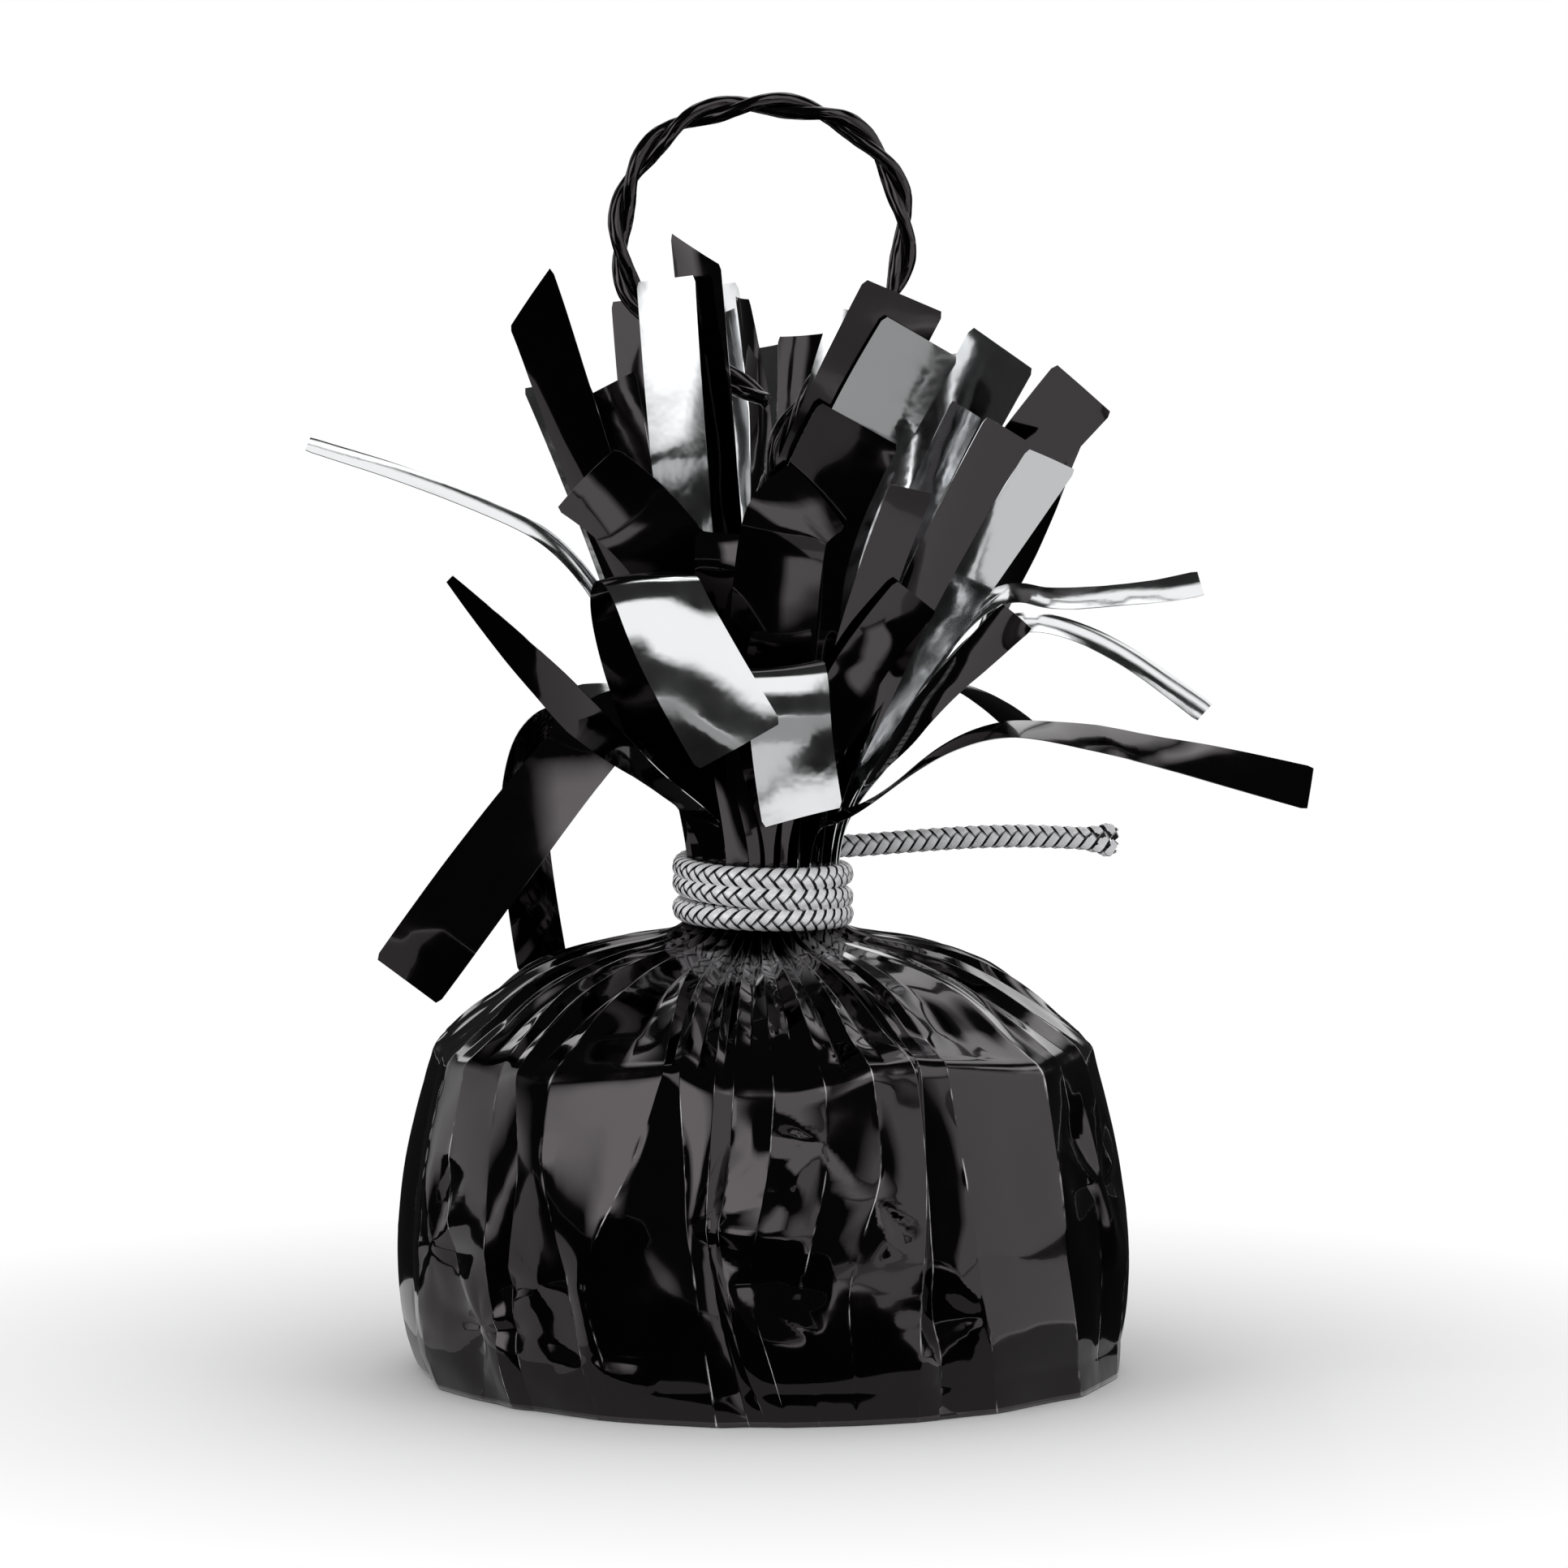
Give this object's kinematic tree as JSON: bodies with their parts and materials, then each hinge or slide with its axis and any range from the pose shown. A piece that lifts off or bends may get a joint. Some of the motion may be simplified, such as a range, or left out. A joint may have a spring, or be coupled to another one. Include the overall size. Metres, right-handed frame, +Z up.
{
  "type": "balloon weight",
  "caption": "Film-wrapped balloon weight: round slug in pleated black and silver film, tied at the neck with braided cord, slit fringe above, and a twisted hanging loop for balloon ribbon",
  "frame": {"origin": "middle of the flat underside that stands on the table", "axes": "+Z up through the neck and the hanging loop, -Y towards the viewer of the picture, +X to the right"},
  "size_m": [0.0893, 0.0661, 0.1143],
  "materials": {
    "cast_slug": "rough cast cement",
    "film_black": "glossy metallised film, black face",
    "film_strip": "metallised film, glossy black on one face and mirror silver on the other",
    "film_rope": "black film twisted into rope",
    "braid_silver": "braided metallic thread"
  },
  "bodies": {
    "base": {"weight_slug": "cast_slug", "foil_wrap": "film_black", "neck_gather": "film_black", "tie_winding": "braid_silver", "tie_tail": "braid_silver", "strip_back_inner": "film_strip", "strip_back_left": "film_strip", "strip_back_left_tall": "film_strip", "strip_back_middle": "film_strip", "strip_back_right": "film_strip", "strip_back_right_tall": "film_strip", "strip_back_tall": "film_strip", "strip_centre_edge_on": "film_strip", "strip_centre_front": "film_strip", "strip_centre_highest": "film_strip", "strip_centre_inner": "film_strip", "strip_centre_pale": "film_strip", "strip_centre_tall": "film_strip", "strip_front_arch": "film_strip", "strip_front_flag": "film_strip", "strip_front_fold_high": "film_strip", "strip_front_fold_low": "film_strip", "strip_front_left": "film_strip", "strip_front_left_arch": "film_strip", "strip_front_right": "film_strip", "strip_left_pale": "film_strip", "strip_left_rear": "film_strip", "strip_left_short": "film_strip", "strip_left_tall": "film_strip", "strip_right_edge": "film_strip", "strip_right_low": "film_strip", "strip_right_narrow": "film_strip", "strip_right_near": "film_strip", "strip_right_pale": "film_strip", "strip_right_rear": "film_strip", "strip_right_tall": "film_strip"},
    "hanging_loop": {"hanging_loop": "film_rope"},
    "stray_back": {"stray_back": "film_strip"},
    "stray_back_right": {"stray_back_right": "film_strip"},
    "stray_left_drooping": {"stray_left_drooping": "film_strip"},
    "stray_left_front": {"stray_left_front": "film_strip"},
    "stray_left_hanging": {"stray_left_hanging": "film_strip"},
    "stray_left_high": {"stray_left_high": "film_strip"},
    "stray_left_nib": {"stray_left_nib": "film_strip"},
    "stray_right_high": {"stray_right_high": "film_strip"},
    "stray_right_low": {"stray_right_low": "film_strip"},
    "stray_right_middle": {"stray_right_middle": "film_strip"}
  },
  "joints": [
    {"name": "loop_tilt", "type": "hinge", "parent": "base", "child": "hanging_loop", "pos_m": [0, 0, 0.0504], "axis": [-1, 0, 0], "range_deg": [0, 14], "stiffness_Nm_per_rad": 0.02},
    {"name": "back_flex", "type": "hinge", "parent": "base", "child": "stray_back", "pos_m": [0, 0.0066, 0.0501], "axis": [-1, 0, 0], "range_deg": [-15, 15], "stiffness_Nm_per_rad": 0.0008},
    {"name": "back_right_flex", "type": "hinge", "parent": "base", "child": "stray_back_right", "pos_m": [0.00388, 0.00534, 0.0501], "axis": [-0.809, 0.5878, 0], "range_deg": [-15, 15], "stiffness_Nm_per_rad": 0.0008},
    {"name": "left_drooping_flex", "type": "hinge", "parent": "base", "child": "stray_left_drooping", "pos_m": [-0.00658, -0.00046, 0.0501], "axis": [0.0698, -0.9976, 0], "range_deg": [-3, 6], "stiffness_Nm_per_rad": 0.0012},
    {"name": "left_front_flex", "type": "hinge", "parent": "base", "child": "stray_left_front", "pos_m": [-0.00541, -0.00379, 0.0501], "axis": [0.5736, -0.8192, 0], "range_deg": [-10, 15], "stiffness_Nm_per_rad": 0.0008},
    {"name": "left_hanging_flex", "type": "hinge", "parent": "base", "child": "stray_left_hanging", "pos_m": [-0.0049, 0.00442, 0.0501], "axis": [-0.6691, -0.7431, 0], "range_deg": [-15, 1], "stiffness_Nm_per_rad": 0.0008},
    {"name": "left_high_flex", "type": "hinge", "parent": "base", "child": "stray_left_high", "pos_m": [-0.00628, 0.00204, 0.0501], "axis": [-0.309, -0.9511, 0], "range_deg": [-10, 15], "stiffness_Nm_per_rad": 0.0012},
    {"name": "left_nib_flex", "type": "hinge", "parent": "base", "child": "stray_left_nib", "pos_m": [-0.00656, 0.00069, 0.0501], "axis": [-0.1045, -0.9945, 0], "range_deg": [-2, 15], "stiffness_Nm_per_rad": 0.0001},
    {"name": "right_high_flex", "type": "hinge", "parent": "base", "child": "stray_right_high", "pos_m": [0.00656, 0.00069, 0.0501], "axis": [-0.1045, 0.9945, 0], "range_deg": [0, 5], "stiffness_Nm_per_rad": 0.001},
    {"name": "right_low_flex", "type": "hinge", "parent": "base", "child": "stray_right_low", "pos_m": [0.0049, -0.00442, 0.0501], "axis": [0.6691, 0.7431, 0], "range_deg": [-15, 15], "stiffness_Nm_per_rad": 0.0015},
    {"name": "right_middle_flex", "type": "hinge", "parent": "base", "child": "stray_right_middle", "pos_m": [0.00572, 0.0033, 0.0501], "axis": [-0.5, 0.866, 0], "range_deg": [-10, 15], "stiffness_Nm_per_rad": 0.001}
  ]
}
